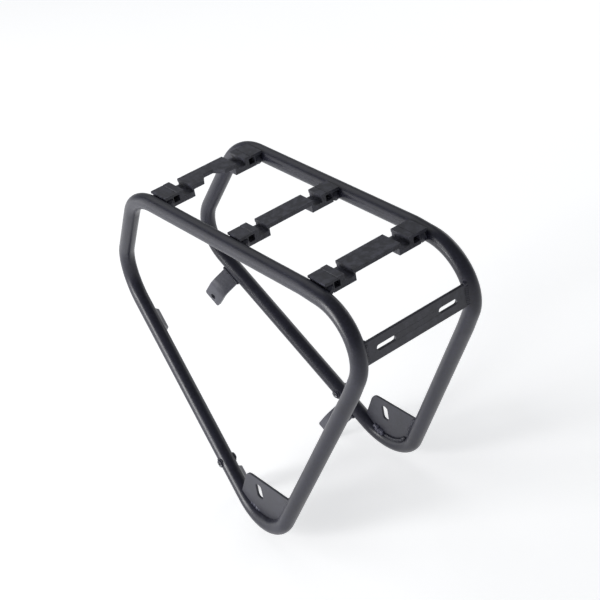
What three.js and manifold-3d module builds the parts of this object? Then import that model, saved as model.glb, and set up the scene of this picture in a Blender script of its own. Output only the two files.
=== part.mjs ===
// Rigid bicycle rear carrier: two bent side loops, three extruded deck bars, a rear lamp plate,
// two dropout plates, four stay tabs and two cross bosses. Millimetres.
// +X points to the front of the bicycle, +Y to its left, +Z up.
// The origin is the centre of the middle deck bar's top face.
import * as THREE from 'three';
import { mergeVertices } from 'three/addons/utils/BufferGeometryUtils.js';
import Module from 'manifold-3d';

const wasm = await Module();
wasm.setup();

// ---- driving dimensions ----
const TUBE_R = 8;                  // side tube, outside radius
const WALL = 2;                    // side tube wall
const WELD = 1e-4;                 // corners closer than this are one corner
const FIT = 0.3;                   // clearance left at every welded or touching face
const SEAM = 0.35;                 // gap at the butt seam of each side loop
const OUTER_SEGMENTS = 20;
const INNER_SEGMENTS = 12;
const ROUND_SEGMENTS = 24;         // facets round a boss
const HOLE_STEPS = 8;              // facets per curve on a flat piece
const BEND_STEP = 11;              // degrees of bend per ring
const RAIL_Z = -7.5;               // height of the top rail's centreline
const RAIL_Y = 61.8;               // half the spacing of the top rails

// corners of one side loop (centreline, left side) with the bend radius at each
const LOOP = [
  { name: 'rail_front', at: [153.2, RAIL_Y, RAIL_Z], bend: 62.6 },
  { name: 'nose', at: [239.9, 47.6, -127.3], bend: 45.1 },
  { name: 'foot', at: [-2.9, 84.9, -338.5], bend: 47.2 },
  { name: 'rear_low', at: [-151.3, 65.8, -96.6], bend: 43.9 },
  { name: 'rear_high', at: [-195.6, 61.5, -15.7], bend: 44.7 },
  { name: 'rail_rear', at: [-104.7, RAIL_Y, RAIL_Z], bend: 62.8 },
];
const SEAM_LEG = 2;                // the seam sits halfway up the leg that starts at this corner

const BARS = [                     // centre and width of each bar along the rails
  { name: 'front', x: 119.2, width: 24 },
  { name: 'middle', x: 0, width: 18.5 },
  { name: 'rear', x: -116.2, width: 23.4 },
];
const BAR_TOP = 0;                 // plateau top
const PLATEAU_HALF = 26.2;         // half width of the plateau
const PLATEAU_UNDER = -4.2;
const EDGE = 0.5;                  // small chamfer on the bars' edges
const BLOCK_IN = 24;               // inner wall of each end block
const BLOCK_OUT = 48.2;
const BLOCK_UNDER = -11.5;
const GROOVE_OUT = 35.4;
const GROOVE_FLOOR = -6.2;
const GROOVE_DEEP = 0.6;           // undercut on both walls of the groove
const NOSE_HEIGHT = 3;             // height of the overhanging nose
const RIDGE_TOP = 0.8;             // block top next to the groove
const RIDGE_OUT = 42.6;
const LIP_TOP = 0.5;
const LIP_UNDER = -2.6;
const LIP_TIP = 56.2;
const SCORE = 0.6;                 // half width of the shallow line between ridge and lip
const CHAMBER = { y: 43.8, z: -4.9, w: 6.6, h: 6.2, r: 0.9 };
const CHAMBER_STEPS = 3;           // facets round each corner of the chamber hole
const NOTCH = { open: 12, inner: 5.2, depth: 10.5 };
const TOOL_DEPTH = 80;             // length of the tools that cut right through a piece

const LAMP = {
  x: -168.9, top: -39.5, under: -61.9, thick: 3,
  slotIn: 24, slotOut: 44.8, slotW: 5.4, slotR: 2.69, slotZ: -50.7,
};

const DROP = {
  y: 80, thick: 2.5, topZ: -260.3, cornerX: 23, footZ: -298.5, round: 8,
  slotX: 7.2, slotZ: -276.4, slotW: 8.8, slotH: 16.8, slotR: 3.4,
};

const TAB = {
  width: 20.5, thick: 4, kneeIn: 18.8, kneeDown: 21.6, endDown: 47.2, bend: 13, bendSteps: 8,
  round: 2.6, holeUp: 6.9, holeD: 6.4,
};
const TAB_AT = [{ name: 'upper', s: 0.1885 }, { name: 'lower', s: 0.755 }];

const BOSS = { s: 0.7, r: 3.9, bore: 2.5, half: 9.3, chamfer: 0.5 };

// ---- small helpers ----
const X = new THREE.Vector3(1, 0, 0);
const Y = new THREE.Vector3(0, 1, 0);
const Z = new THREE.Vector3(0, 0, 1);
const lerp = (a, b, t) => a.clone().lerp(b, t);

function toManifold(geometry) {
  const bare = new THREE.BufferGeometry();
  bare.setAttribute('position', geometry.getAttribute('position').clone());
  if (geometry.index) bare.setIndex(geometry.index.clone());
  const merged = mergeVertices(bare, WELD);
  return new wasm.Manifold(new wasm.Mesh({
    numProp: 3,
    vertProperties: new Float32Array(merged.getAttribute('position').array),
    triVerts: new Uint32Array(merged.index.array),
  }));
}

function toGeometry(solid) {
  const mesh = solid.getMesh();
  const count = mesh.vertProperties.length / mesh.numProp;
  const position = new Float32Array(count * 3);
  for (let i = 0; i < count; i++) {
    for (let k = 0; k < 3; k++) position[3 * i + k] = mesh.vertProperties[mesh.numProp * i + k];
  }
  const geometry = new THREE.BufferGeometry();
  geometry.setAttribute('position', new THREE.BufferAttribute(position, 3));
  geometry.setIndex(Array.from(mesh.triVerts));
  const flat = geometry.toNonIndexed();
  flat.computeVertexNormals();
  return flat;
}

function cut(body, tools) {
  let solid = toManifold(body);
  for (const tool of tools) solid = solid.subtract(toManifold(tool));
  return toGeometry(solid);
}

function prism(shape, depth, segments = HOLE_STEPS) {
  const geometry = new THREE.ExtrudeGeometry(shape, {
    depth, bevelEnabled: false, curveSegments: segments, steps: 1,
  });
  geometry.translate(0, 0, -depth / 2);
  return geometry;
}

// maps a prism's own x, y, z onto three axes, then moves it
function place(geometry, ax, ay, az, at) {
  const m = new THREE.Matrix4().makeBasis(ax, ay, az).setPosition(at);
  return geometry.applyMatrix4(m);
}

function ring(radius, segments) {
  const points = [];
  for (let i = 0; i < segments; i++) {
    const a = 2 * Math.PI * (i + 0.5) / segments;
    points.push(new THREE.Vector2(radius * Math.cos(a), radius * Math.sin(a)));
  }
  return points;
}

function roundedHole(cx, cy, w, h, r) {
  const path = new THREE.Path();
  const dx = w / 2 - r;
  const dy = h / 2 - r;
  const quarter = Math.PI / 2;
  [[1, 1], [-1, 1], [-1, -1], [1, -1]].forEach(([sx, sy], i) => {
    path.absarc(cx + sx * dx, cy + sy * dy, r, i * quarter, (i + 1) * quarter, false);
  });
  return path;
}

// ---- the side loop's centreline ----
function corner(prev, at, next, radius) {
  const u = prev.clone().sub(at).normalize();
  const w = next.clone().sub(at).normalize();
  const angle = u.angleTo(w);
  const reach = radius / Math.tan(angle / 2);
  const start = at.clone().addScaledVector(u, reach);
  const end = at.clone().addScaledVector(w, reach);
  const half = u.clone().add(w).normalize();
  const centre = at.clone().addScaledVector(half, radius / Math.sin(angle / 2));
  const e1 = start.clone().sub(centre).normalize();
  const e2 = end.clone().sub(centre);
  e2.addScaledVector(e1, -e2.dot(e1)).normalize();
  const turn = Math.PI - angle;
  const steps = Math.max(1, Math.round(THREE.MathUtils.radToDeg(turn) / BEND_STEP));
  const points = [];
  for (let i = 0; i <= steps; i++) {
    const a = turn * i / steps;
    const out = e1.clone().multiplyScalar(Math.cos(a)).addScaledVector(e2, Math.sin(a));
    points.push({
      at: centre.clone().addScaledVector(out, radius),
      tangent: e2.clone().multiplyScalar(Math.cos(a)).addScaledVector(e1, -Math.sin(a)),
    });
  }
  return points;
}

function loopCorners(side) {
  return LOOP.map(({ at: [x, y, z] }) => new THREE.Vector3(x, side * y, z));
}

// rings from one side of the seam right round to the other
function loopRings(side) {
  const corners = loopCorners(side);
  const n = corners.length;
  const next = (i) => corners[(i + 1) % n];
  const bends = corners.map((c, i) => corner(corners[(i + n - 1) % n], c, next(i), LOOP[i].bend));
  const from = bends[SEAM_LEG][bends[SEAM_LEG].length - 1];
  const to = bends[(SEAM_LEG + 1) % n][0];
  const middle = lerp(from.at, to.at, 0.5);
  const along = to.at.clone().sub(from.at).normalize();
  const rings = [{ at: middle.clone().addScaledVector(along, SEAM / 2), tangent: along }];
  for (let i = 1; i <= n; i++) rings.push(...bends[(SEAM_LEG + i) % n]);
  rings.push({ at: middle.clone().addScaledVector(along, -SEAM / 2), tangent: along });
  return rings;
}

// a curve that hands the extruder exactly the rings it is given, carried round without twist
class RingPath extends THREE.Curve {
  constructor(rings) {
    super();
    this.rings = rings;
  }

  getPoint(t, target = new THREE.Vector3()) {
    const k = Math.min(this.rings.length - 1, Math.round(t * (this.rings.length - 1)));
    return target.copy(this.rings[k].at);
  }

  getSpacedPoints() {
    return this.rings.map((r) => r.at.clone());
  }

  computeFrenetFrames() {
    const tangents = this.rings.map((r) => r.tangent.clone().normalize());
    const normals = [];
    const binormals = [];
    let normal = Y.clone().addScaledVector(tangents[0], -Y.dot(tangents[0])).normalize();
    tangents.forEach((t, i) => {
      if (i > 0) {
        const turn = new THREE.Quaternion().setFromUnitVectors(tangents[i - 1], t);
        normal = normal.clone().applyQuaternion(turn);
        normal.addScaledVector(t, -normal.dot(t)).normalize();
      }
      normals.push(normal);
      binormals.push(new THREE.Vector3().crossVectors(t, normal));
    });
    return { tangents, normals, binormals };
  }
}

function sweep(rings, outer, inner) {
  const shape = new THREE.Shape(ring(outer, OUTER_SEGMENTS));
  if (inner > 0) shape.holes.push(new THREE.Path(ring(inner, INNER_SEGMENTS).reverse()));
  return new THREE.ExtrudeGeometry(shape, {
    steps: rings.length - 1, curveSegments: 1, bevelEnabled: false, extrudePath: new RingPath(rings),
  });
}

// the space a tube and its clearance take, used to cope the pieces that meet it
function fatTube(side) {
  return sweep(loopRings(side), (TUBE_R + FIT) / Math.cos(Math.PI / OUTER_SEGMENTS), 0);
}

// axes of the long slanted leg that runs from the nose to the foot
function slantFrame(side, s) {
  const [, nose, foot] = loopCorners(side);
  const along = foot.clone().sub(nose);
  const at = nose.clone().addScaledVector(along, s);
  along.normalize();
  const inward = new THREE.Vector3(0, -side, 0);
  inward.addScaledVector(along, -inward.dot(along)).normalize();
  const down = new THREE.Vector3().crossVectors(along, inward);
  if (down.z > 0) down.negate();
  return { at, along, inward, down };
}

function bossCylinder(side, radius, half) {
  const geometry = new THREE.CylinderGeometry(radius, radius, 2 * half, ROUND_SEGMENTS);
  return geometry.translate(...slantFrame(side, BOSS.s).at.toArray());
}

function sideTube(side) {
  return cut(sweep(loopRings(side), TUBE_R, TUBE_R - WALL), [bossCylinder(side, BOSS.r + FIT, 2 * TUBE_R)]);
}

// ---- deck bars ----
// right half of a bar's cross-section, from the plateau down round the groove, block and lip
function barHalf() {
  const gap = TUBE_R + FIT;
  const tubeSide = (z) => RAIL_Y - Math.sqrt(gap ** 2 - (z - RAIL_Z) ** 2);
  const tubeTop = (y) => RAIL_Z + Math.sqrt(gap ** 2 - (RAIL_Y - y) ** 2);
  const innerWall = PLATEAU_HALF - GROOVE_DEEP;
  const outerWall = GROOVE_OUT + GROOVE_DEEP;
  const lipMid = (LIP_UNDER + LIP_TOP) / 2 - EDGE;
  return [
    [PLATEAU_HALF - EDGE, BAR_TOP],
    [PLATEAU_HALF, BAR_TOP - EDGE],
    [PLATEAU_HALF, BAR_TOP - NOSE_HEIGHT],
    [innerWall, BAR_TOP - NOSE_HEIGHT - EDGE],
    [innerWall, GROOVE_FLOOR],
    [outerWall, GROOVE_FLOOR],
    [outerWall, RIDGE_TOP - NOSE_HEIGHT - EDGE],
    [GROOVE_OUT, RIDGE_TOP - NOSE_HEIGHT],
    [GROOVE_OUT, RIDGE_TOP - EDGE],
    [GROOVE_OUT + EDGE, RIDGE_TOP],
    [RIDGE_OUT - SCORE, RIDGE_TOP],
    [RIDGE_OUT, LIP_TOP - EDGE],
    [RIDGE_OUT + SCORE, LIP_TOP],
    [LIP_TIP - EDGE, LIP_TOP],
    [LIP_TIP, LIP_TOP - EDGE],
    [LIP_TIP, tubeTop(LIP_TIP)],
    [tubeSide(lipMid), lipMid],
    [tubeSide(LIP_UNDER), LIP_UNDER],
    [BLOCK_OUT + 2 * EDGE, LIP_UNDER],
    [BLOCK_OUT, LIP_UNDER - 2 * EDGE],
    [BLOCK_OUT, BLOCK_UNDER + EDGE],
    [BLOCK_OUT - EDGE, BLOCK_UNDER],
    [BLOCK_IN + EDGE, BLOCK_UNDER],
    [BLOCK_IN, BLOCK_UNDER + EDGE],
    [BLOCK_IN, PLATEAU_UNDER - EDGE],
    [BLOCK_IN - EDGE, PLATEAU_UNDER],
  ];
}

function deckBar(width) {
  const half = barHalf();
  const mirrored = half.map(([y, z]) => [-y, z]).reverse();
  const outline = [...half, ...mirrored].reverse().map(([y, z]) => new THREE.Vector2(y, z));
  const shape = new THREE.Shape(outline);
  const { y, z, w, h, r } = CHAMBER;
  shape.holes.push(roundedHole(y, z, w, h, r), roundedHole(-y, z, w, h, r));
  return place(prism(shape, width, CHAMBER_STEPS), Y, Z, X, new THREE.Vector3());
}

function notchTool(width) {
  const rear = -width / 2;
  const past = NOTCH.depth / 5;
  const slope = (NOTCH.open - NOTCH.inner) / NOTCH.depth;
  const wide = NOTCH.open + slope * past;
  const outline = [
    [rear - past, -wide], [rear + NOTCH.depth, -NOTCH.inner],
    [rear + NOTCH.depth, NOTCH.inner], [rear - past, wide],
  ];
  return prism(new THREE.Shape(outline.map(([x, y]) => new THREE.Vector2(x, y))), TOOL_DEPTH);
}

// ---- rear lamp plate ----
function lampPlate() {
  const high = (LAMP.top - LAMP.under) / 2;
  const wide = RAIL_Y;
  const corners = [[-wide, -high], [wide, -high], [wide, high], [-wide, high]];
  const shape = new THREE.Shape(corners.map(([y, z]) => new THREE.Vector2(y, z)));
  const middle = (LAMP.top + LAMP.under) / 2;
  const slotAt = (LAMP.slotIn + LAMP.slotOut) / 2;
  for (const sign of [1, -1]) {
    const length = LAMP.slotOut - LAMP.slotIn;
    shape.holes.push(roundedHole(sign * slotAt, LAMP.slotZ - middle, length, LAMP.slotW, LAMP.slotR));
  }
  const body = place(prism(shape, LAMP.thick), Y, Z, X, new THREE.Vector3(LAMP.x, 0, middle));
  return cut(body, [fatTube(1), fatTube(-1)]);
}

// ---- dropout plates ----
function dropoutPlate(side) {
  const shape = new THREE.Shape();
  const path = loopRings(side).map((r) => r.at);
  const [, nose, foot, rearLow] = loopCorners(side);
  const onLeg = (a, b, z) => {
    const p = lerp(a, b, (z - a.z) / (b.z - a.z));
    return new THREE.Vector2(p.x, p.z);
  };
  const rearTop = onLeg(foot, rearLow, DROP.topZ);
  const frontFoot = onLeg(nose, foot, DROP.footZ);
  const bottom = path.filter((p) => p.z < DROP.footZ - DROP.thick).map((p) => new THREE.Vector2(p.x, p.z));
  bottom.sort((a, b) => b.x - a.x);
  const knee = new THREE.Vector2(DROP.cornerX, DROP.topZ);
  const lean = frontFoot.clone().sub(knee).normalize();
  shape.moveTo(rearTop.x, rearTop.y);
  shape.lineTo(knee.x - DROP.round, knee.y);
  shape.quadraticCurveTo(knee.x, knee.y, knee.x + lean.x * DROP.round, knee.y + lean.y * DROP.round);
  shape.lineTo(frontFoot.x, frontFoot.y);
  bottom.forEach((p) => shape.lineTo(p.x, p.y));
  shape.closePath();
  shape.holes.push(roundedHole(DROP.slotX, DROP.slotZ, DROP.slotW, DROP.slotH, DROP.slotR));
  const at = new THREE.Vector3(0, side * DROP.y, 0);
  const body = place(prism(shape, DROP.thick), X, Z, Y.clone().negate(), at);
  return cut(body, [fatTube(side)]);
}

// ---- stay tabs ----
// the bent strip seen along the leg: x is inward, y is away from the rack
function tabStrip() {
  const knee = new THREE.Vector2(TAB.kneeIn, TAB.kneeDown);
  const first = knee.clone().normalize();
  const turn = Math.PI / 2 - Math.atan2(TAB.kneeDown, TAB.kneeIn);
  const reach = TAB.bend * Math.tan(turn / 2);
  const start = knee.clone().addScaledVector(first, -reach);
  const centre = start.clone().add(new THREE.Vector2(-first.y, first.x).multiplyScalar(TAB.bend));
  const a0 = Math.atan2(start.y - centre.y, start.x - centre.x);
  const line = [first.clone().multiplyScalar(TUBE_R / 2)];
  for (let i = 0; i <= TAB.bendSteps; i++) {
    const a = a0 + turn * i / TAB.bendSteps;
    line.push(new THREE.Vector2(centre.x + TAB.bend * Math.cos(a), centre.y + TAB.bend * Math.sin(a)));
  }
  line.push(new THREE.Vector2(TAB.kneeIn, TAB.endDown));
  const side = (k) => {
    const p = line[Math.max(0, k - 1)];
    const q = line[Math.min(line.length - 1, k + 1)];
    const d = q.clone().sub(p).normalize();
    return new THREE.Vector2(-d.y, d.x).multiplyScalar(TAB.thick / 2);
  };
  const left = line.map((p, k) => p.clone().add(side(k)));
  const right = line.map((p, k) => p.clone().sub(side(k))).reverse();
  return new THREE.Shape([...left, ...right]);
}

function stayTab(side, s) {
  const f = slantFrame(side, s);
  const hand = new THREE.Vector3().crossVectors(f.inward, f.down);
  const body = place(prism(tabStrip(), TAB.width), f.inward, f.down, hand, f.at);
  const half = TAB.width / 2;
  const outline = new THREE.Shape();
  outline.moveTo(-half, -TUBE_R);
  outline.lineTo(half, -TUBE_R);
  outline.absarc(half - TAB.round, TAB.endDown - TAB.round, TAB.round, 0, Math.PI / 2, false);
  outline.absarc(-half + TAB.round, TAB.endDown - TAB.round, TAB.round, Math.PI / 2, Math.PI, false);
  const hole = new THREE.Path();
  hole.absarc(0, TAB.endDown - TAB.holeUp, TAB.holeD / 2, 0, 2 * Math.PI, true);
  outline.holes.push(hole);
  const across = new THREE.Vector3().crossVectors(f.down, f.inward);
  const through = new THREE.Vector3().crossVectors(across, f.down);
  const frame = place(prism(outline, TOOL_DEPTH, HOLE_STEPS), across, f.down, through, f.at);
  const solid = toManifold(body).intersect(toManifold(frame)).subtract(toManifold(fatTube(side)));
  return toGeometry(solid);
}

// ---- cross bosses ----
function crossBoss(side) {
  const { r, bore, half, chamfer } = BOSS;
  const profile = [
    [bore, -half + chamfer], [bore + chamfer, -half], [r - chamfer, -half], [r, -half + chamfer],
    [r, half - chamfer], [r - chamfer, half], [bore + chamfer, half], [bore, half - chamfer],
    [bore, -half + chamfer],
  ].map(([x, y]) => new THREE.Vector2(x, y));
  return { geometry: new THREE.LatheGeometry(profile, ROUND_SEGMENTS), at: slantFrame(side, BOSS.s).at };
}

// ---- assembly ----
function add(group, name, geometry, color, roughness, metalness) {
  const material = new THREE.MeshStandardMaterial({ color, roughness, metalness });
  material.name = `${name}_coat`;
  const mesh = new THREE.Mesh(geometry, material);
  mesh.name = name;
  group.add(mesh);
  return mesh;
}

const rack = new THREE.Group();
rack.name = 'bicycle_rear_rack';
const sides = [['left', 1], ['right', -1]];

for (const [word, side] of sides) add(rack, `side_tube_${word}`, sideTube(side), 0x2b2c30, 0.42, 0.2);

for (const { name, x, width } of BARS) {
  const bar = name === 'front' ? cut(deckBar(width), [notchTool(width)]) : deckBar(width);
  add(rack, `deck_bar_${name}`, bar, 0x36363b, 0.55, 0.2).position.set(x, 0, 0);
}

add(rack, 'rear_lamp_plate', lampPlate(), 0x3a3b40, 0.5, 0.2);

for (const [word, side] of sides) {
  add(rack, `dropout_plate_${word}`, dropoutPlate(side), 0x424348, 0.5, 0.2);
  for (const tab of TAB_AT) {
    add(rack, `stay_tab_${tab.name}_${word}`, stayTab(side, tab.s), 0x4c4d55, 0.5, 0.2);
  }
  const boss = crossBoss(side);
  add(rack, `cross_boss_${word}`, boss.geometry, 0x303136, 0.45, 0.3).position.copy(boss.at);
}

export default rack;
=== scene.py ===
"""Looks of a welded bicycle rear carrier in satin black coated aluminium.

+X is the front of the bicycle, +Y its left, +Z up. Lengths below are in millimetres and become
metres through MM. Every new piece sits at the origin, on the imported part's own coordinates.
"""

import math

import bmesh
import bpy
from mathutils import Matrix, Vector
from mathutils.geometry import delaunay_2d_cdt


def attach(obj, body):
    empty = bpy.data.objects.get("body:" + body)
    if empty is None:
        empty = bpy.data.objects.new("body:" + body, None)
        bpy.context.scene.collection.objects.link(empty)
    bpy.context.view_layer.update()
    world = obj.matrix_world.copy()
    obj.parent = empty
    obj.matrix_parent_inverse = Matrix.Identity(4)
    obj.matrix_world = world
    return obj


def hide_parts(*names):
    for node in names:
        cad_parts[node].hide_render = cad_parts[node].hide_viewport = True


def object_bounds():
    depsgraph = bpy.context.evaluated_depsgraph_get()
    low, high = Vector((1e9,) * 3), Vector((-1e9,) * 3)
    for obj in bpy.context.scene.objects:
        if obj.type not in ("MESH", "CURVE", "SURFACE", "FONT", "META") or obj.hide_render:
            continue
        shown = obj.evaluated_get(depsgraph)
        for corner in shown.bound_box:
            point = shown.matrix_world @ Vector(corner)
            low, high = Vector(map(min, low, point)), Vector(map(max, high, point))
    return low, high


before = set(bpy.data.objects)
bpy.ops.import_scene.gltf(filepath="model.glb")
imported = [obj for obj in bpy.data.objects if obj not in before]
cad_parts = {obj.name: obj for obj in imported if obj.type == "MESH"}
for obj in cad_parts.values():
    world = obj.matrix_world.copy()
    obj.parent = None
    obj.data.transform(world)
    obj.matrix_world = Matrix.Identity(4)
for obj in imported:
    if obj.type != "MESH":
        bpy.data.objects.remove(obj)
CAD_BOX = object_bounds()
MM = 0.001

# ---- driving dimensions, the same as the part's ----
TUBE_R = 8.0
SKIN_R = 7.72  # the visible tube, a touch thinner so that its smooth bends stay inside the part's box
RAIL_Y = 61.8
RAIL_Z = -7.5
LOOP = (
    ((153.2, 61.8, -7.5), 62.6),
    ((239.9, 47.6, -127.3), 45.1),
    ((-2.9, 84.9, -338.5), 47.2),
    ((-151.3, 65.8, -96.6), 43.9),
    ((-195.6, 61.5, -15.7), 44.7),
    ((-104.7, 61.8, -7.5), 62.8),
)
BARS = {"front": (119.2, 24.0), "middle": (0.0, 18.5), "rear": (-116.2, 23.4)}
PLATEAU_HALF, PLATEAU_UNDER = 26.2, -4.2
GROOVE_OUT, GROOVE_FLOOR, GROOVE_DEEP, NOSE_HEIGHT = 35.4, -6.2, 0.6, 3.0
RIDGE_TOP, RIDGE_OUT, SCORE = 0.8, 42.6, 0.6
LIP_TOP, LIP_UNDER, LIP_TIP = 0.5, -2.6, 56.2
BLOCK_IN, BLOCK_OUT, BLOCK_UNDER = 24.0, 48.2, -11.5
EDGE = 0.5
CHAMBER = dict(y=43.8, z=-4.9, w=6.6, h=6.2, r=0.9)
NOTCH_OPEN, NOTCH_INNER, NOTCH_DEPTH = 12.0, 5.2, 10.5
LAMP_X, LAMP_TOP, LAMP_UNDER, LAMP_THICK = -168.9, -39.5, -61.9, 3.0
SLOT_IN, SLOT_OUT, SLOT_W, SLOT_Z = 24.0, 44.8, 5.4, -50.7
DROP_Y, DROP_THICK, DROP_TOP, DROP_FOOT = 80.0, 2.5, -260.3, -298.5
DROP_KNEE, DROP_ROUND = 23.0, 8.0
DROP_SLOT = dict(y=7.2, z=-276.4, w=8.8, h=16.8, r=3.4)
TAB_WIDTH, TAB_THICK, TAB_BEND, TAB_ROUND = 20.5, 4.0, 13.0, 2.6
TAB_KNEE = (18.8, 21.6)
TAB_END, TAB_HOLE_UP, TAB_HOLE_R = 47.2, 6.9, 3.2
TABS = {"upper": 0.1885, "lower": 0.755}
BOSS_AT, BOSS_R, BOSS_BORE, BOSS_HALF = 0.7, 3.9, 2.5, 9.3
SIDES = {"left": 1, "right": -1}


# ---- node graphs ----
class Value:
    """One socket of a node graph that takes part in ordinary arithmetic."""

    def __init__(self, graph, socket):
        self.graph = graph
        self.socket = socket

    def __add__(self, other):
        return self.graph.math("ADD", self, other)

    def __sub__(self, other):
        return self.graph.math("SUBTRACT", self, other)

    def __rsub__(self, other):
        return self.graph.math("SUBTRACT", other, self)

    def __mul__(self, other):
        return self.graph.math("MULTIPLY", self, other)

    def __truediv__(self, other):
        return self.graph.math("DIVIDE", self, other)

    def __rtruediv__(self, other):
        return self.graph.math("DIVIDE", other, self)

    def __pow__(self, other):
        return self.graph.math("POWER", self, other)

    def __rpow__(self, other):
        return self.graph.math("POWER", other, self)

    __radd__ = __add__
    __rmul__ = __mul__

    def above(self, low, high):
        """0 under low, 1 over high, and a smooth step between."""
        step = self.graph.make("ShaderNodeMapRange", {"interpolation_type": "SMOOTHSTEP"},
                               {"Value": self, "From Min": low, "From Max": high})
        return step["Result"]


class Outputs:
    """The output sockets of one node, by name."""

    def __init__(self, graph, node):
        self.graph = graph
        self.node = node

    def __getitem__(self, key):
        return Value(self.graph, self.node.outputs[key])


class Graph:
    """Builds one node tree."""

    def __init__(self, tree):
        self.tree = tree

    def feed(self, socket, value):
        if isinstance(value, Value):
            self.tree.links.new(value.socket, socket)
        else:
            socket.default_value = value

    def make(self, kind, settings=None, inputs=None):
        node = self.tree.nodes.new(kind)
        for key, value in (settings or {}).items():
            setattr(node, key, value)
        for key, value in (inputs or {}).items():
            self.feed(node.inputs[key], value)
        return Outputs(self, node)

    def math(self, operation, *values):
        return self.make("ShaderNodeMath", {"operation": operation}, dict(enumerate(values)))["Value"]

    def noise(self, vector, scale, detail=2.0, rough=0.5):
        sockets = {"Scale": scale, "Detail": detail, "Roughness": rough}
        if vector is not None:
            sockets["Vector"] = vector
        return self.make("ShaderNodeTexNoise", None, sockets)["Fac"]


def colour_mix(graph, factor, first, second):
    """Mixes two colours; the colour result is the node's third output."""
    made = graph.make("ShaderNodeMix", {"data_type": "RGBA"}, {0: factor, 6: first, 7: second})
    return Value(graph, made.node.outputs[2])


# ---- materials ----
def grey(level, blue=1.0):
    """A near-black grey with its blue raised by the given factor."""
    return (level, level * 1.01, level * blue, 1.0)


def coat(name, level, rough, grain=1.0, wear_and_highlight=0.5, blue=1.35, shine=0.4):
    """Satin powder coat: orange peel, faint cloudiness, dust, and edges painted lighter, partly as rubbed
    wear and partly as a painted highlight.
    """
    material = bpy.data.materials.new(name)
    material.use_nodes = True
    graph = Graph(material.node_tree)
    shader = material.node_tree.nodes["Principled BSDF"]
    place = graph.make("ShaderNodeTexCoord")["Object"]
    cloud = graph.noise(place, 26.0, 3.0)
    streak = graph.noise(place, 140.0, 4.0, 0.6)
    mottle = graph.noise(place, 430.0, 3.0, 0.6)
    peel = graph.noise(place, 1500.0, 2.0)
    grit = graph.noise(place, 5200.0, 1.0)
    dust = graph.noise(place, 2600.0, 0.0).above(0.70, 0.78) * graph.noise(place, 60.0).above(0.45, 0.75)
    edge = graph.make("ShaderNodeAttribute", {"attribute_name": "edge_wear_highlight"})["Fac"]
    # edges painted lighter: partly rubbed wear, partly a painted highlight standing in for light catching
    # the edges
    rub_and_highlight = edge * streak.above(0.38, 0.66) * wear_and_highlight
    tint = colour_mix(graph, cloud.above(0.3, 0.7), grey(level * 0.82, blue), grey(level * 1.18, blue))
    tint = colour_mix(graph, streak.above(0.55, 0.8) * 0.25, tint, grey(level * 1.6, blue))
    tint = colour_mix(graph, mottle.above(0.35, 0.7) * 0.55, tint, grey(level * 2.0, blue))
    tint = colour_mix(graph, dust * 0.5, tint, grey(level * 3.2, blue))
    tint = colour_mix(graph, rub_and_highlight, tint, grey(level * 3.0 + 0.03, blue))
    gloss = rough + (cloud - 0.5) * 0.10 + (streak - 0.5) * 0.12 + (mottle - 0.5) * 0.22
    gloss = gloss - rub_and_highlight * 0.08 + dust * 0.15
    height = peel * 0.75 + grit * 0.25
    bump = graph.make("ShaderNodeBump", None,
                      {"Strength": 0.22 * grain, "Distance": 0.00012, "Height": height})
    graph.feed(shader.inputs["Base Color"], tint)
    graph.feed(shader.inputs["Roughness"], gloss)
    graph.feed(shader.inputs["Normal"], bump["Normal"])
    shader.inputs["Specular IOR Level"].default_value = shine
    return material


def bare_metal(name):
    """Machined aluminium in a tapped bore: turning rings and a cool bright surface."""
    material = bpy.data.materials.new(name)
    material.use_nodes = True
    graph = Graph(material.node_tree)
    shader = material.node_tree.nodes["Principled BSDF"]
    place = graph.make("ShaderNodeTexCoord")["Object"]
    cloud = graph.noise(place, 400.0, 3.0)
    rings = graph.make("ShaderNodeTexWave", {"bands_direction": "Y"},
                       {"Vector": place, "Scale": 900.0, "Distortion": 1.5})["Fac"]
    tint = colour_mix(graph, cloud, grey(0.42, 1.03), grey(0.66, 1.03))
    bump = graph.make("ShaderNodeBump", None, {"Strength": 0.3, "Distance": 0.00005, "Height": rings})
    graph.feed(shader.inputs["Base Color"], tint)
    graph.feed(shader.inputs["Roughness"], 0.25 + cloud * 0.2)
    graph.feed(shader.inputs["Normal"], bump["Normal"])
    shader.inputs["Metallic"].default_value = 1.0
    return material


TUBE_COAT = coat("tube_coat", 0.0105, 0.34, blue=1.8)
# the bars get the strongest painted edge highlight
BAR_COAT = coat("bar_coat", 0.021, 0.5, grain=1.5, wear_and_highlight=1.0)
PLATE_COAT = coat("plate_coat", 0.022, 0.44, grain=1.2)
TAB_COAT = coat("tab_coat", 0.042, 0.44, blue=1.3)
WELD_COAT = coat("weld_coat", 0.017, 0.36, grain=1.4, wear_and_highlight=0.3, blue=1.6)
PALE_WELD_COAT = coat("pale_weld_coat", 0.055, 0.3, grain=1.4, wear_and_highlight=0.3, blue=1.45)
BOSS_METAL = bare_metal("boss_metal")


# ---- geometry node trees ----
def new_tree(name, sockets):
    """An empty tree with a geometry input and output and the named number inputs."""
    tree = bpy.data.node_groups.new(name, "GeometryNodeTree")
    tree.interface.new_socket("Geometry", in_out="INPUT", socket_type="NodeSocketGeometry")
    tree.interface.new_socket("Geometry", in_out="OUTPUT", socket_type="NodeSocketGeometry")
    for label, kind in sockets:
        tree.interface.new_socket(label, in_out="INPUT", socket_type=kind)
    graph = Graph(tree)
    return graph, graph.make("NodeGroupInput"), tree.nodes.new("NodeGroupOutput")


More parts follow.
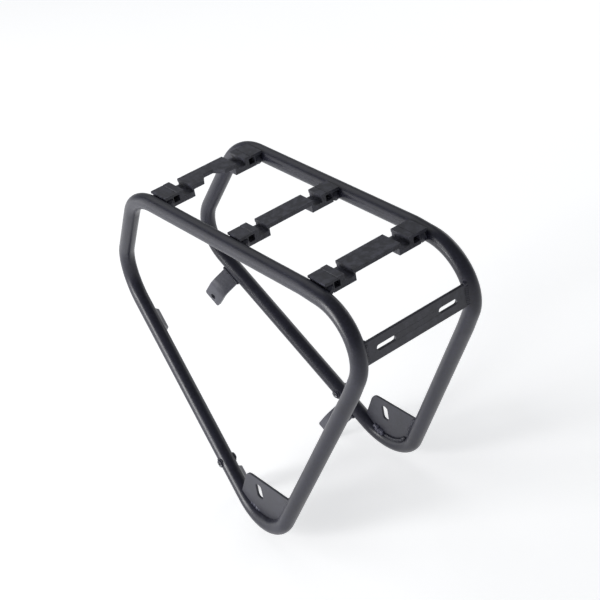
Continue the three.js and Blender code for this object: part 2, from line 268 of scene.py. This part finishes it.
def end_tree(graph, outlet, geometry, source):
    """Shades smooth, realizes what is left, sets the material and closes the tree."""
    smooth = graph.make("GeometryNodeSetShadeSmooth", None, {"Geometry": geometry})["Geometry"]
    whole = graph.make("GeometryNodeRealizeInstances", None, {"Geometry": smooth})["Geometry"]
    painted = graph.make("GeometryNodeSetMaterial", None,
                         {"Geometry": whole, "Material": source["Material"]})["Geometry"]
    graph.feed(outlet.inputs[0], painted)
    return graph.tree


def named(graph, name):
    """The value of a number attribute stored on the geometry."""
    read = graph.make("GeometryNodeInputNamedAttribute", {"data_type": "FLOAT"}, {"Name": name})
    return read["Attribute"]


def tube_tree():
    """A closed loop of corners, each rounded to its own bend radius, swept with a round section."""
    graph, source, outlet = new_tree("bent_tube", (
        ("Radius", "NodeSocketFloat"), ("Arc Points", "NodeSocketInt"), ("Facets", "NodeSocketInt"),
        ("Spacing", "NodeSocketFloat"), ("Material", "NodeSocketMaterial")))
    line = graph.make("GeometryNodeMeshToCurve", None, {"Mesh": source["Geometry"]})["Curve"]
    bent = graph.make("GeometryNodeFilletCurve", {"mode": "POLY"},
                      {"Curve": line, "Count": source["Arc Points"], "Radius": named(graph, "bend"),
                       "Limit Radius": True})["Curve"]
    even = graph.make("GeometryNodeResampleCurve", {"mode": "LENGTH"},
                      {"Curve": bent, "Length": source["Spacing"]})["Curve"]
    section = graph.make("GeometryNodeCurvePrimitiveCircle", {"mode": "RADIUS"},
                         {"Resolution": source["Facets"], "Radius": source["Radius"]})["Curve"]
    skin = graph.make("GeometryNodeCurveToMesh", None, {"Curve": even, "Profile Curve": section})["Mesh"]
    return end_tree(graph, outlet, skin, source)


def bead_tree():
    """A weld bead: a lumpy rope along a path, built up in overlapping ripples."""
    graph, source, outlet = new_tree("weld_bead", (
        ("Radius", "NodeSocketFloat"), ("Ripple", "NodeSocketFloat"), ("Swell", "NodeSocketFloat"),
        ("Lumps", "NodeSocketFloat"), ("Seed", "NodeSocketFloat"), ("Material", "NodeSocketMaterial")))
    line = graph.make("GeometryNodeMeshToCurve", None, {"Mesh": source["Geometry"]})["Curve"]
    even = graph.make("GeometryNodeResampleCurve", {"mode": "LENGTH"},
                      {"Curve": line, "Length": source["Ripple"] / 9.0})["Curve"]
    along = graph.make("GeometryNodeSplineParameter")
    drift = graph.make("ShaderNodeTexNoise", {"noise_dimensions": "1D"},
                       {"W": along["Length"] * 240.0 + source["Seed"], "Detail": 1.0})["Fac"]
    phase = graph.math("FRACT", along["Length"] / source["Ripple"] + drift * 0.9)
    scallop = phase ** 0.55
    ends = graph.math("MINIMUM", along["Factor"], 1.0 - along["Factor"])
    taper = 0.45 + ends.above(0.0, 0.09) * 0.55
    size = (1.0 + (scallop - 0.6) * source["Swell"] + (drift - 0.5) * 0.5) * taper
    swollen = graph.make("GeometryNodeSetCurveRadius", None, {"Curve": even, "Radius": size})["Curve"]
    section = graph.make("GeometryNodeCurvePrimitiveCircle", {"mode": "RADIUS"},
                         {"Resolution": 18, "Radius": source["Radius"]})["Curve"]
    rope = graph.make("GeometryNodeCurveToMesh", None,
                      {"Curve": swollen, "Profile Curve": section, "Scale": size,
                       "Fill Caps": True})["Mesh"]
    spot = graph.make("GeometryNodeInputPosition")["Position"]
    rough = graph.make("ShaderNodeTexNoise", {"noise_dimensions": "4D"},
                       {"Vector": spot, "W": source["Seed"], "Scale": 420.0, "Detail": 2.0})["Fac"]
    push = graph.make("ShaderNodeVectorMath", {"operation": "SCALE"},
                      {0: graph.make("GeometryNodeInputNormal")["Normal"],
                       "Scale": (rough - 0.5) * source["Lumps"]})["Vector"]
    lumpy = graph.make("GeometryNodeSetPosition", None, {"Geometry": rope, "Offset": push})["Geometry"]
    return end_tree(graph, outlet, lumpy, source)


def thread_tree():
    """An internal thread: a helix swept with a small pointed section."""
    graph, source, outlet = new_tree("inside_thread", (
        ("Radius", "NodeSocketFloat"), ("Pitch", "NodeSocketFloat"), ("Turns", "NodeSocketFloat"),
        ("Depth", "NodeSocketFloat"), ("Material", "NodeSocketMaterial")))
    helix = graph.make("GeometryNodeCurveSpiral", None,
                       {"Resolution": 30, "Rotations": source["Turns"], "Start Radius": source["Radius"],
                        "End Radius": source["Radius"],
                        "Height": source["Turns"] * source["Pitch"]})["Curve"]
    section = graph.make("GeometryNodeCurvePrimitiveCircle", {"mode": "RADIUS"},
                         {"Resolution": 4, "Radius": source["Depth"]})["Curve"]
    ridge = graph.make("GeometryNodeCurveToMesh", None,
                       {"Curve": helix, "Profile Curve": section, "Fill Caps": True})["Mesh"]
    rise = source["Turns"] * source["Pitch"]
    middle = graph.make("ShaderNodeCombineXYZ", None, {"Z": rise * -0.5})["Vector"]
    centred = graph.make("GeometryNodeSetPosition", None, {"Geometry": ridge, "Offset": middle})["Geometry"]
    return end_tree(graph, outlet, centred, source)


def edge_tree():
    """Marks how near each point is to a sharp edge, as the attribute by which the coats paint their edges
    lighter, partly as wear and partly as a painted highlight.
    """
    graph, source, outlet = new_tree("edge_wear_and_highlight", (("Spread", "NodeSocketInt"),))
    turn = graph.make("GeometryNodeInputMeshEdgeAngle")["Unsigned Angle"]
    soft = graph.make("GeometryNodeBlurAttribute", {"data_type": "FLOAT"},
                      {"Value": turn.above(0.12, 0.5), "Iterations": source["Spread"]})["Value"]
    kept = graph.make("GeometryNodeStoreNamedAttribute", {"data_type": "FLOAT", "domain": "POINT"},
                      {"Geometry": source["Geometry"], "Name": "edge_wear_highlight", "Value": soft})["Geometry"]
    graph.feed(outlet.inputs[0], kept)
    return graph.tree


TUBE_TREE = tube_tree()
BEAD_TREE = bead_tree()
THREAD_TREE = thread_tree()
EDGE_TREE = edge_tree()


# ---- making pieces ----
def new_object(name, mesh):
    """Links a mesh into the scene as an object at the origin."""
    thing = bpy.data.objects.new(name, mesh)
    bpy.context.scene.collection.objects.link(thing)
    return thing


def bake(thing):
    """Replaces the object's mesh by its evaluated one and drops the modifiers."""
    bpy.context.view_layer.update()
    graph = bpy.context.evaluated_depsgraph_get()
    mesh = bpy.data.meshes.new_from_object(thing.evaluated_get(graph), preserve_all_data_layers=True,
                                           depsgraph=graph)
    old = thing.data
    thing.modifiers.clear()
    thing.data = mesh
    mesh.name = thing.name
    bpy.data.meshes.remove(old)
    return thing


def grow(thing, tree, settings):
    """Runs a geometry tree on the object with its named inputs set, and keeps the result."""
    modifier = thing.modifiers.new(tree.name, "NODES")
    modifier.node_group = tree
    for item in tree.interface.items_tree:
        if item.in_out == "INPUT" and item.name in settings:
            modifier[item.identifier] = settings[item.name]
    return bake(thing)


def line_object(name, points, closed=False):
    """An object that is only a line through points given in millimetres."""
    mesh = bpy.data.meshes.new(name)
    count = len(points)
    edges = [(i, i + 1) for i in range(count - 1)]
    if closed:
        edges.append((count - 1, 0))
    mesh.from_pydata([Vector(p) * MM for p in points], edges, [])
    return new_object(name, mesh)


def soften(thing, width, spread=2):
    """Small rounded edges with clean shading, then the attribute for edge wear and painted edge highlights.
    """
    bevel = thing.modifiers.new("edges", "BEVEL")
    bevel.width = width * MM
    bevel.segments = 3
    bevel.limit_method = "ANGLE"
    bevel.angle_limit = math.radians(28)
    bevel.harden_normals = True
    bevel.miter_outer = "MITER_ARC"
    bake(thing)
    return grow(thing, EDGE_TREE, {"Spread": spread})


def finish_piece(thing, material, nodes=()):
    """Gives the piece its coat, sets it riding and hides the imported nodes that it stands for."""
    thing.data.materials.clear()
    thing.data.materials.append(material)
    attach(thing, "root")
    if nodes:
        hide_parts(*nodes)
    return thing


def rounded(y, z, w, h, r, steps=8):
    """A rectangle with rounded corners, as a loop of points."""
    points = []
    for turn, (sy, sz) in enumerate(((1, 1), (-1, 1), (-1, -1), (1, -1))):
        for i in range(steps + 1):
            a = math.pi / 2 * (turn + i / steps)
            points.append((y + sy * (w / 2 - r) + r * math.cos(a), z + sz * (h / 2 - r) + r * math.sin(a)))
    return points


def slab(outline, holes, thick):
    """A flat plate in its own x, y with holes through it, centred on z."""
    loops = [outline] + list(holes)
    points = [Vector(p) for loop in loops for p in loop]
    faces = []
    start = 0
    for loop in loops:
        faces.append(list(range(start, start + len(loop))))
        start += len(loop)
    edges = [(f[i], f[(i + 1) % len(f)]) for f in faces for i in range(len(f))]
    verts, _, cells, _, _, _ = delaunay_2d_cdt(points, edges, [], 1, 1e-6)
    mesh = bmesh.new()
    made = [mesh.verts.new((v.x, v.y, -thick / 2)) for v in verts]
    inside = [c for c in cells if not in_hole(verts, c, holes)]
    for cell in inside:
        mesh.faces.new([made[i] for i in cell])
    bmesh.ops.dissolve_limit(mesh, angle_limit=0.01, verts=mesh.verts, edges=mesh.edges)
    base = list(mesh.faces)
    raised = bmesh.ops.extrude_face_region(mesh, geom=base)
    top = [v for v in raised["geom"] if isinstance(v, bmesh.types.BMVert)]
    bmesh.ops.translate(mesh, verts=top, vec=(0, 0, thick))
    bmesh.ops.recalc_face_normals(mesh, faces=mesh.faces)
    return mesh


def in_hole(verts, cell, holes):
    """True if the middle of a cell lies in one of the holes."""
    middle = sum((verts[i] for i in cell), Vector((0, 0))) / len(cell)
    return any(winding(middle, hole) for hole in holes)


def winding(point, loop):
    """True if the point lies inside the loop."""
    inside = False
    for (x0, y0), (x1, y1) in zip(loop, loop[1:] + loop[:1]):
        if (y0 > point.y) != (y1 > point.y) and point.x < x0 + (x1 - x0) * (point.y - y0) / (y1 - y0):
            inside = not inside
    return inside


def settle(mesh, name, ax, ay, az, at):
    """Turns a flat-built mesh onto three axes, moves it, and makes it an object in metres."""
    turn = Matrix((ax, ay, az)).transposed().to_4x4()
    mesh.transform(Matrix.Scale(MM, 4) @ Matrix.Translation(at) @ turn)
    if turn.determinant() < 0:
        bmesh.ops.reverse_faces(mesh, faces=mesh.faces)
    data = bpy.data.meshes.new(name)
    mesh.to_mesh(data)
    mesh.free()
    for face in data.polygons:
        face.use_smooth = True
    return new_object(name, data)


X = Vector((1, 0, 0))
Y = Vector((0, 1, 0))
Z = Vector((0, 0, 1))
HOME = Vector((0, 0, 0))


# ---- the side loops ----
def loop_corners(side):
    """Corners of one side loop's centreline."""
    return [Vector((x, side * y, z)) for (x, y, z), _ in LOOP]


def bend_arc(before, at, after, radius, steps):
    """Points of the bend at one corner, from the leg before it to the leg after it."""
    u = (before - at).normalized()
    w = (after - at).normalized()
    angle = u.angle(w)
    reach = radius / math.tan(angle / 2)
    centre = at + (u + w).normalized() * (radius / math.sin(angle / 2))
    e1 = (at + u * reach - centre).normalized()
    e2 = at + w * reach - centre
    e2 = (e2 - e1 * e2.dot(e1)).normalized()
    turn = math.pi - angle
    return [centre + (e1 * math.cos(turn * k / steps) + e2 * math.sin(turn * k / steps)) * radius
            for k in range(steps + 1)]


def tube_line(side, step=1.5):
    """Closely spaced points on one loop's centreline."""
    corners = loop_corners(side)
    count = len(corners)
    arcs = [bend_arc(corners[i - 1], at, corners[(i + 1) % count], LOOP[i][1], 40)
            for i, at in enumerate(corners)]
    line = []
    for i, arc in enumerate(arcs):
        start, stop = arc[-1], arcs[(i + 1) % count][0]
        steps = max(1, int((stop - start).length / step))
        line += arc + [start.lerp(stop, k / steps) for k in range(1, steps)]
    return line


def side_tube(word, side):
    """The bent tube of one side."""
    name = f"tube_{word}"
    thing = line_object(name, loop_corners(side), closed=True)
    bends = thing.data.attributes.new("bend", "FLOAT", "POINT")
    for item, (_, radius) in zip(bends.data, LOOP):
        item.value = radius * MM
    grow(thing, TUBE_TREE, {"Radius": SKIN_R * MM, "Arc Points": 24, "Facets": 72, "Spacing": 0.0022,
                            "Material": TUBE_COAT})
    return finish_piece(thing, TUBE_COAT, [f"side_tube_{word}"])


def slant(side, share):
    """A point on the long slanted leg, with its along, inward and downward directions."""
    _, nose, foot = loop_corners(side)[:3]
    along = foot - nose
    at = nose + along * share
    along.normalize()
    inward = Vector((0, -side, 0))
    inward = (inward - along * inward.dot(along)).normalized()
    down = along.cross(inward)
    if down.z > 0:
        down.negate()
    return at, along, inward, down


# ---- the deck bars ----
def bar_half():
    """Right half of a bar's cross-section, from the plateau round the groove, block and lip."""
    gap = TUBE_R + 0.1

    def tube_side(z):
        return RAIL_Y - math.sqrt(gap ** 2 - (z - RAIL_Z) ** 2)

    def tube_top(y):
        return RAIL_Z + math.sqrt(gap ** 2 - (RAIL_Y - y) ** 2)

    inner = PLATEAU_HALF - GROOVE_DEEP
    outer = GROOVE_OUT + GROOVE_DEEP
    lip_mid = LIP_UNDER + 2 * EDGE
    return [
        (PLATEAU_HALF, 0.0),
        (PLATEAU_HALF, -NOSE_HEIGHT),
        (inner, -NOSE_HEIGHT - EDGE),
        (inner, GROOVE_FLOOR),
        (outer, GROOVE_FLOOR),
        (outer, RIDGE_TOP - NOSE_HEIGHT - EDGE),
        (GROOVE_OUT, RIDGE_TOP - NOSE_HEIGHT),
        (GROOVE_OUT, RIDGE_TOP),
        (RIDGE_OUT - SCORE, RIDGE_TOP),
        (RIDGE_OUT, LIP_TOP - 0.4),
        (RIDGE_OUT + SCORE, LIP_TOP),
        (LIP_TIP, LIP_TOP),
        (LIP_TIP, tube_top(LIP_TIP)),
        (tube_side(lip_mid), lip_mid),
        (tube_side(LIP_UNDER), LIP_UNDER),
        (BLOCK_OUT + 2 * EDGE, LIP_UNDER),
        (BLOCK_OUT, LIP_UNDER - 2 * EDGE),
        (BLOCK_OUT, BLOCK_UNDER),
        (BLOCK_IN, BLOCK_UNDER),
        (BLOCK_IN, PLATEAU_UNDER - EDGE),
        (BLOCK_IN - EDGE, PLATEAU_UNDER),
    ]


def deck_bar(word, x, width):
    """One length of the grooved extrusion, with a notch in the front one."""
    half = bar_half()
    outline = half + [(-y, z) for y, z in reversed(half)]
    chamber = rounded(CHAMBER["y"], CHAMBER["z"], CHAMBER["w"], CHAMBER["h"], CHAMBER["r"], 5)
    holes = [chamber, [(-y, z) for y, z in reversed(chamber)]]
    mesh = slab(outline, holes, width)
    thing = settle(mesh, f"bar_{word}", Y, Z, X, Vector((x, 0, 0)))
    if word == "front":
        cut_notch(thing, x - width / 2)
    soften(thing, 0.32)
    return finish_piece(thing, BAR_COAT, [f"deck_bar_{word}"])


def cut_notch(thing, rear):
    """Takes the slanted notch out of the front bar's rear edge."""
    past = 2.0
    slope = (NOTCH_OPEN - NOTCH_INNER) / NOTCH_DEPTH
    wide = NOTCH_OPEN + slope * past
    outline = [(rear - past, -wide), (rear + NOTCH_DEPTH, -NOTCH_INNER),
               (rear + NOTCH_DEPTH, NOTCH_INNER), (rear - past, wide)]
    tool = settle(slab(outline, [], 60.0), "notch_tool", X, Y, Z, HOME)
    cut = thing.modifiers.new("notch", "BOOLEAN")
    cut.operation = "DIFFERENCE"
    cut.solver = "EXACT"
    cut.object = tool
    bake(thing)
    bpy.data.objects.remove(tool)


# ---- the plates ----
def lamp_plate():
    """The slotted plate across the rear legs."""
    reach = RAIL_Y - 3.0
    outline = [(-reach, LAMP_UNDER), (reach, LAMP_UNDER), (reach, LAMP_TOP), (-reach, LAMP_TOP)]
    middle = (SLOT_IN + SLOT_OUT) / 2
    length, radius = SLOT_OUT - SLOT_IN, SLOT_W / 2 - 0.02
    slots = [rounded(s * middle, SLOT_Z, length, SLOT_W, radius, 12) for s in (1, -1)]
    mesh = slab(outline, slots, LAMP_THICK)
    thing = settle(mesh, "lamp_plate", Y, Z, X, Vector((LAMP_X, 0, 0)))
    soften(thing, 0.4)
    return finish_piece(thing, PLATE_COAT, ["rear_lamp_plate"])


def at_height(a, b, z):
    """The point of the line through a and b that stands at height z."""
    return a.lerp(b, (z - a.z) / (b.z - a.z))


def dropout_plate(word, side):
    """The slotted plate that fills the bottom bend."""
    nose, foot, low = loop_corners(side)[1:4]
    rear_top = at_height(foot, low, DROP_TOP)
    front_foot = at_height(nose, foot, DROP_FOOT)
    knee = Vector((DROP_KNEE, DROP_TOP))
    lean = (Vector((front_foot.x, front_foot.z)) - knee).normalized()
    arc = [p for p in bend_arc(nose, foot, low, LOOP[2][1], 24) if p.z < DROP_FOOT - DROP_THICK]
    outline = [(rear_top.x, rear_top.z)]
    for i in range(9):
        t = i / 8
        start = knee - Vector((DROP_ROUND, 0))
        end = knee + lean * DROP_ROUND
        point = start * (1 - t) ** 2 + knee * (2 * t * (1 - t)) + end * t ** 2
        outline.append((point.x, point.y))
    outline.append((front_foot.x, front_foot.z))
    outline += [(p.x, p.z) for p in sorted(arc, key=lambda p: -p.x)]
    slot = rounded(DROP_SLOT["y"], DROP_SLOT["z"], DROP_SLOT["w"], DROP_SLOT["h"], DROP_SLOT["r"], 8)
    mesh = slab(outline, [slot], DROP_THICK)
    thing = settle(mesh, f"dropout_{word}", X, Z, -Y, Vector((0, side * DROP_Y, 0)))
    soften(thing, 0.35)
    return finish_piece(thing, PLATE_COAT, [f"dropout_plate_{word}"])


# ---- the stay tabs ----
def tab_line():
    """Centreline of the bent strip: (inward, down) points and their running length."""
    knee = Vector(TAB_KNEE)
    first = knee.normalized()
    turn = math.pi / 2 - math.atan2(knee.y, knee.x)
    reach = TAB_BEND * math.tan(turn / 2)
    start = knee - first * reach
    centre = start + Vector((-first.y, first.x)) * TAB_BEND
    a0 = math.atan2(start.y - centre.y, start.x - centre.x)
    points = [first * (TUBE_R / 2)]
    for i in range(15):
        a = a0 + turn * i / 14
        points.append(centre + Vector((math.cos(a), math.sin(a))) * TAB_BEND)
    points.append(Vector((knee.x, TAB_END)))
    lengths = [0.0]
    for p, q in zip(points, points[1:]):
        lengths.append(lengths[-1] + (q - p).length)
    return points, lengths


def on_line(points, lengths, s):
    """The point at running length s and the strip's normal there."""
    s = min(max(s, 0.0), lengths[-1])
    k = max(i for i in range(len(points) - 1) if lengths[i] <= s + 1e-9)
    way = (points[k + 1] - points[k]).normalized()
    return points[k] + way * (s - lengths[k]), Vector((way.y, -way.x))


def stay_tab(level, share, word, side):
    """A flat strip with rounded corners and a hole, bent round its knee."""
    at, along, inward, down = slant(side, share)
    points, lengths = tab_line()
    total = lengths[-1]
    half = TAB_WIDTH / 2
    outline = [(-half, 0.0), (half, 0.0)]
    for turn, sign in ((0, 1), (1, -1)):
        for i in range(7):
            a = math.pi / 2 * (turn + i / 6)
            outline.append((sign * (half - TAB_ROUND) + TAB_ROUND * math.cos(a),
                            total - TAB_ROUND + TAB_ROUND * math.sin(a)))
    hole = rounded(0.0, total - TAB_HOLE_UP, 2 * TAB_HOLE_R, 2 * TAB_HOLE_R, TAB_HOLE_R - 0.01, 8)
    mesh = slab(outline, [hole], TAB_THICK)
    for s in lengths[1:-1]:
        everything = list(mesh.verts) + list(mesh.edges) + list(mesh.faces)
        bmesh.ops.bisect_plane(mesh, geom=everything, plane_co=(0, s, 0), plane_no=(0, 1, 0))
    for vert in mesh.verts:
        spot, normal = on_line(points, lengths, vert.co.y)
        flat = spot + normal * vert.co.z
        vert.co = Vector((vert.co.x, flat.x, flat.y))
    thing = settle(mesh, f"tab_{level}_{word}", along * side, inward, down, at)
    soften(thing, 0.45)
    return finish_piece(thing, TAB_COAT, [f"stay_tab_{level}_{word}"])


# ---- the bosses ----
def cross_boss(word, side):
    """A short sleeve through the slanted leg."""
    at = slant(side, BOSS_AT)[0]
    half = BOSS_HALF
    profile = [(BOSS_BORE + 0.35, -half), (BOSS_R - 0.6, -half), (BOSS_R - 0.15, -half + 0.2),
               (BOSS_R, -half + 0.7), (BOSS_R, half - 0.7), (BOSS_R - 0.15, half - 0.2),
               (BOSS_R - 0.6, half), (BOSS_BORE + 0.35, half), (BOSS_BORE, half - 0.45),
               (BOSS_BORE, -half + 0.45)]
    mesh = bmesh.new()
    steps = 48
    rings = []
    for i in range(steps):
        a = 2 * math.pi * i / steps
        rings.append([mesh.verts.new((r * math.cos(a), r * math.sin(a), z)) for r, z in profile])
    for i in range(steps):
        near, far = rings[i], rings[(i + 1) % steps]
        for k in range(len(profile)):
            n = (k + 1) % len(profile)
            mesh.faces.new((near[k], far[k], far[n], near[n]))
    bmesh.ops.recalc_face_normals(mesh, faces=mesh.faces)
    thing = settle(mesh, f"boss_{word}", Vector((1, 0, 0)), Vector((0, 0, -1)), Y, at)
    grow(thing, EDGE_TREE, {"Spread": 1})
    return finish_piece(thing, WELD_COAT, [f"cross_boss_{word}"])


def boss_thread(word, side):
    """The thread inside a boss."""
    at = slant(side, BOSS_AT)[0]
    thing = line_object(f"boss_thread_{word}", [(0, 0, 0), (0, 0, 0.01)])
    grow(thing, THREAD_TREE, {"Radius": BOSS_BORE * MM, "Pitch": 0.8 * MM, "Turns": 23.0,
                              "Depth": 0.38 * MM, "Material": BOSS_METAL})
    turn = Matrix.Rotation(math.radians(90), 4, "X")
    thing.data.transform(Matrix.Translation(at * MM) @ turn)
    return finish_piece(thing, BOSS_METAL)


# ---- the welds ----
def bead(name, points, radius, seed, ripple=1.9, swell=0.35, lumps=0.5, closed=False, paint=None):
    """A weld bead along points given in millimetres."""
    thing = line_object(name, points, closed)
    paint = paint or WELD_COAT
    grow(thing, BEAD_TREE, {"Radius": radius * MM, "Ripple": ripple * MM, "Swell": swell,
                            "Lumps": lumps * MM, "Seed": seed, "Material": paint})
    return finish_piece(thing, paint)


def contact_loops(node, side):
    """Edges where a packed plate's own faces meet its coped end, as ordered lists of points."""
    source = bmesh.new()
    source.from_mesh(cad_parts[node].data)
    bmesh.ops.remove_doubles(source, verts=source.verts, dist=1e-6)
    line = tube_line(side)
    coped = {f.index: faces_tube(f, line) for f in source.faces}
    chain = {}
    for edge in source.edges:
        if len(edge.link_faces) == 2:
            one, other = (coped[f.index] for f in edge.link_faces)
            if one != other:
                for v in edge.verts:
                    chain.setdefault(v.index, []).append(edge.other_vert(v).index)
    where = {v.index: v.co / MM for v in source.verts}
    source.free()
    return ordered(chain, where)


def faces_tube(face, line):
    """True for a coped face: close to the tube and turned towards its centreline."""
    middle = face.calc_center_median() / MM
    nearest = min(line, key=lambda p: (p - middle).length_squared)
    away = middle - nearest
    return away.length < TUBE_R + 0.9 and abs(away.normalized().dot(face.normal)) > 0.8


def ordered(chain, where):
    """Walks a set of linked points into lists."""
    left = set(chain)
    loops = []
    while left:
        here = min(left)
        walk = [here]
        left.discard(here)
        while True:
            ahead = [n for n in chain[walk[-1]] if n in left]
            if not ahead:
                break
            walk.append(ahead[0])
            left.discard(ahead[0])
        if len(walk) > 3:
            loops.append([where[i] for i in walk])
    return loops


def bar_welds(word, x, width, side_word, side, seed):
    """A full fillet under a bar's lip, between block and rail, flaring onto the tube at both ends."""
    reach = width / 2 + 2.4
    middle = 7
    points = []
    for i in range(2 * middle + 1):
        share = (i - middle) / middle
        points.append((x + reach * share, side * (50.9 + 0.9 * abs(share)), -7.3))
    bead(f"weld_bar_{word}_{side_word}", points, 4.1, seed, ripple=2.6, swell=0.2, lumps=1.1)


def lamp_welds(side_word, side, seed):
    """A soft rope blending the lamp plate's end into the tube, with two lumps near its top corner."""
    for loop in contact_loops("rear_lamp_plate", side):
        edge = LAMP_X - LAMP_THICK / 2
        line = sorted((p for p in loop if abs(p.x - edge) < 0.05), key=lambda p: p.z)
        if len(line) < 3 or side * line[0].y < 0:
            continue
        middle = [Vector((LAMP_X - 0.2, p.y + side * 1.2, p.z)) for p in line]
        bead(f"weld_lamp_{side_word}", middle, 2.9, seed, ripple=3.4, swell=0.12, lumps=0.9,
             paint=TUBE_COAT)
        end = line[-1].y + side * 0.4
        for lump, (low, size) in enumerate(((0.5, 2.2), (6.0, 1.6))):
            tips = [Vector((LAMP_X + d, end, LAMP_TOP - low)) for d in (-2.4, -0.4, 1.6)]
            bead(f"weld_lamp_lump_{lump}_{side_word}", tips, size, seed + 2.0 + lump,
                 ripple=2.2, swell=0.4, lumps=0.9)


def dropout_welds(word, side, seed):
    """Welds on the dropout plate's inner face: coarse lumps in front, then a smooth run rearwards."""
    inner = side * (DROP_Y - DROP_THICK / 2)
    for loop in contact_loops(f"dropout_plate_{word}", side):
        points = [p for p in loop if abs(p.y - inner) < 0.05]
        runs = {
            "lumps": ([p for p in points if 7.0 < p.x < 30.0], 2.9, 0.9, 2.2, PALE_WELD_COAT),
            "front": ([p for p in points if -22.0 < p.x <= 14.0], 2.0, 0.12, 0.7, TUBE_COAT),
            "rear": ([p for p in points if p.x < -24.0], 1.9, 0.3, 0.8, WELD_COAT),
        }
        for label, (run, size, swell, lumps, paint) in runs.items():
            line = [p - Vector((0, side * 0.5, 0)) for p in sorted(run, key=lambda p: -p.x)]
            if len(line) > 2:
                bead(f"weld_dropout_{label}_{word}", line, size, seed, 4.2, swell, lumps, paint=paint)
                seed += 2.7


def tab_welds(level, word, side, seed):
    """A bead right round the foot of each tab."""
    for k, loop in enumerate(contact_loops(f"stay_tab_{level}_{word}", side)):
        bead(f"weld_tab_{level}_{word}_{k}", loop, 1.7, seed, ripple=2.0, lumps=0.7, closed=True)
        seed += 1.3


def boss_welds(word, side, seed):
    """A thin ring of weld where the boss leaves the tube on each side."""
    at, along, inward, down = slant(side, BOSS_AT)
    for end, sign in (("in", 1), ("out", -1)):
        ring = []
        for i in range(24):
            a = 2 * math.pi * i / 24
            flat = along * math.cos(a) + down * math.sin(a)
            height = math.sqrt(TUBE_R ** 2 - (math.sin(a) * BOSS_R) ** 2)
            ring.append(at + flat * (BOSS_R + 0.1) + inward * (sign * (height - 0.15)))
        bead(f"weld_boss_{end}_{word}", ring, 0.75, seed, ripple=1.4, lumps=0.3, closed=True)
        seed += 4.4


# ---- the whole carrier ----
for place, (word, side) in enumerate(SIDES.items()):
    side_tube(word, side)
    dropout_plate(word, side)
    cross_boss(word, side)
    boss_thread(word, side)
    for level, share in TABS.items():
        stay_tab(level, share, word, side)
        tab_welds(level, word, side, 11.0 + 5.0 * place + 20.0 * share)
    lamp_welds(word, side, 31.0 + 7.0 * place)
    dropout_welds(word, side, 47.0 + 9.0 * place)
    boss_welds(word, side, 63.0 + 5.0 * place)
for bar, (x, width) in BARS.items():
    deck_bar(bar, x, width)
    for word, side in SIDES.items():
        bar_welds(bar, x, width, word, side, 80.0 + x * 0.1 + side)
lamp_plate()


# ---- floor, light and camera ----
def floor_material():
    """Plain pale paper that also glows a little, so that it stays white."""
    material = bpy.data.materials.new("floor_paper")
    material.use_nodes = True
    graph = Graph(material.node_tree)
    shader = material.node_tree.nodes["Principled BSDF"]
    place = graph.make("ShaderNodeTexCoord")["Object"]
    soft = graph.noise(place, 3.0, 2.0)
    paper = colour_mix(graph, soft, (0.93, 0.93, 0.935, 1), (0.96, 0.96, 0.96, 1))
    graph.feed(shader.inputs["Base Color"], paper)
    shader.inputs["Roughness"].default_value = 0.9
    shader.inputs["Emission Color"].default_value = (1, 1, 1, 1)
    shader.inputs["Emission Strength"].default_value = 0.44
    return material


def studio_floor():
    """A wide floor just under the carrier."""
    mesh = bpy.data.meshes.new("studio_floor")
    level = CAD_BOX[0][2] - 0.001
    reach = 6.0
    mesh.from_pydata([(-reach, -reach, level), (reach, -reach, level), (reach, reach, level),
                      (-reach, reach, level)], [], [(0, 1, 2, 3)])
    floor = new_object("studio_floor", mesh)
    mesh.materials.append(floor_material())


def area_light(name, at, target, size, power):
    """A rectangular soft light turned to its target."""
    data = bpy.data.lights.new(name, "AREA")
    data.shape = "RECTANGLE"
    data.size, data.size_y = size
    data.energy = power
    lamp = bpy.data.objects.new(name, data)
    bpy.context.scene.collection.objects.link(lamp)
    lamp.location = at
    lamp.rotation_euler = (Vector(target) - Vector(at)).to_track_quat("-Z", "Y").to_euler()
    return lamp


def studio_light():
    """A dim sky and five soft boxes, the strongest on the left."""
    world = bpy.data.worlds.new("studio_world")
    bpy.context.scene.world = world
    world.use_nodes = True
    back = world.node_tree.nodes["Background"]
    back.inputs["Color"].default_value = (0.93, 0.96, 1.0, 1)
    back.inputs["Strength"].default_value = 0.30
    bpy.context.scene.view_settings.view_transform = "Standard"
    centre = Vector((0, 0, -0.15))
    boxes = {
        "left_box": ((0.55, 1.9, 0.35), (0.55, 1.1), 34),
        "front_left_box": ((1.42, 1.10, 0.6), (1.1, 1.1), 6.5),
        "top_box": ((1.3, -0.4, 1.5), (1.4, 1.2), 4.0),
        "low_box": ((1.5, 1.2, -0.02), (1.4, 0.3), 2.2),
        "right_box": ((0.3, -1.9, 0.4), (1.2, 1.0), 5.5),
    }
    for name, (offset, size, power) in boxes.items():
        area_light(name, centre + Vector(offset), centre, size, power)


def camera():
    """The view from behind and above, on the left."""
    data = bpy.data.cameras.new("camera")
    data.sensor_width = 36.0
    data.lens = 100.4
    data.clip_start = 0.05
    eye = bpy.data.objects.new("camera", data)
    bpy.context.scene.collection.objects.link(eye)
    right = Vector((-0.6130, -0.7748, -0.1550))
    up = Vector((0.3411, -0.4364, 0.8325))
    back = right.cross(up)
    turn = Matrix((right, up, back)).transposed().to_4x4()
    eye.matrix_world = Matrix.Translation((-1.0937, 0.7026, 0.7202)) @ turn
    bpy.context.scene.camera = eye


studio_floor()
studio_light()
camera()
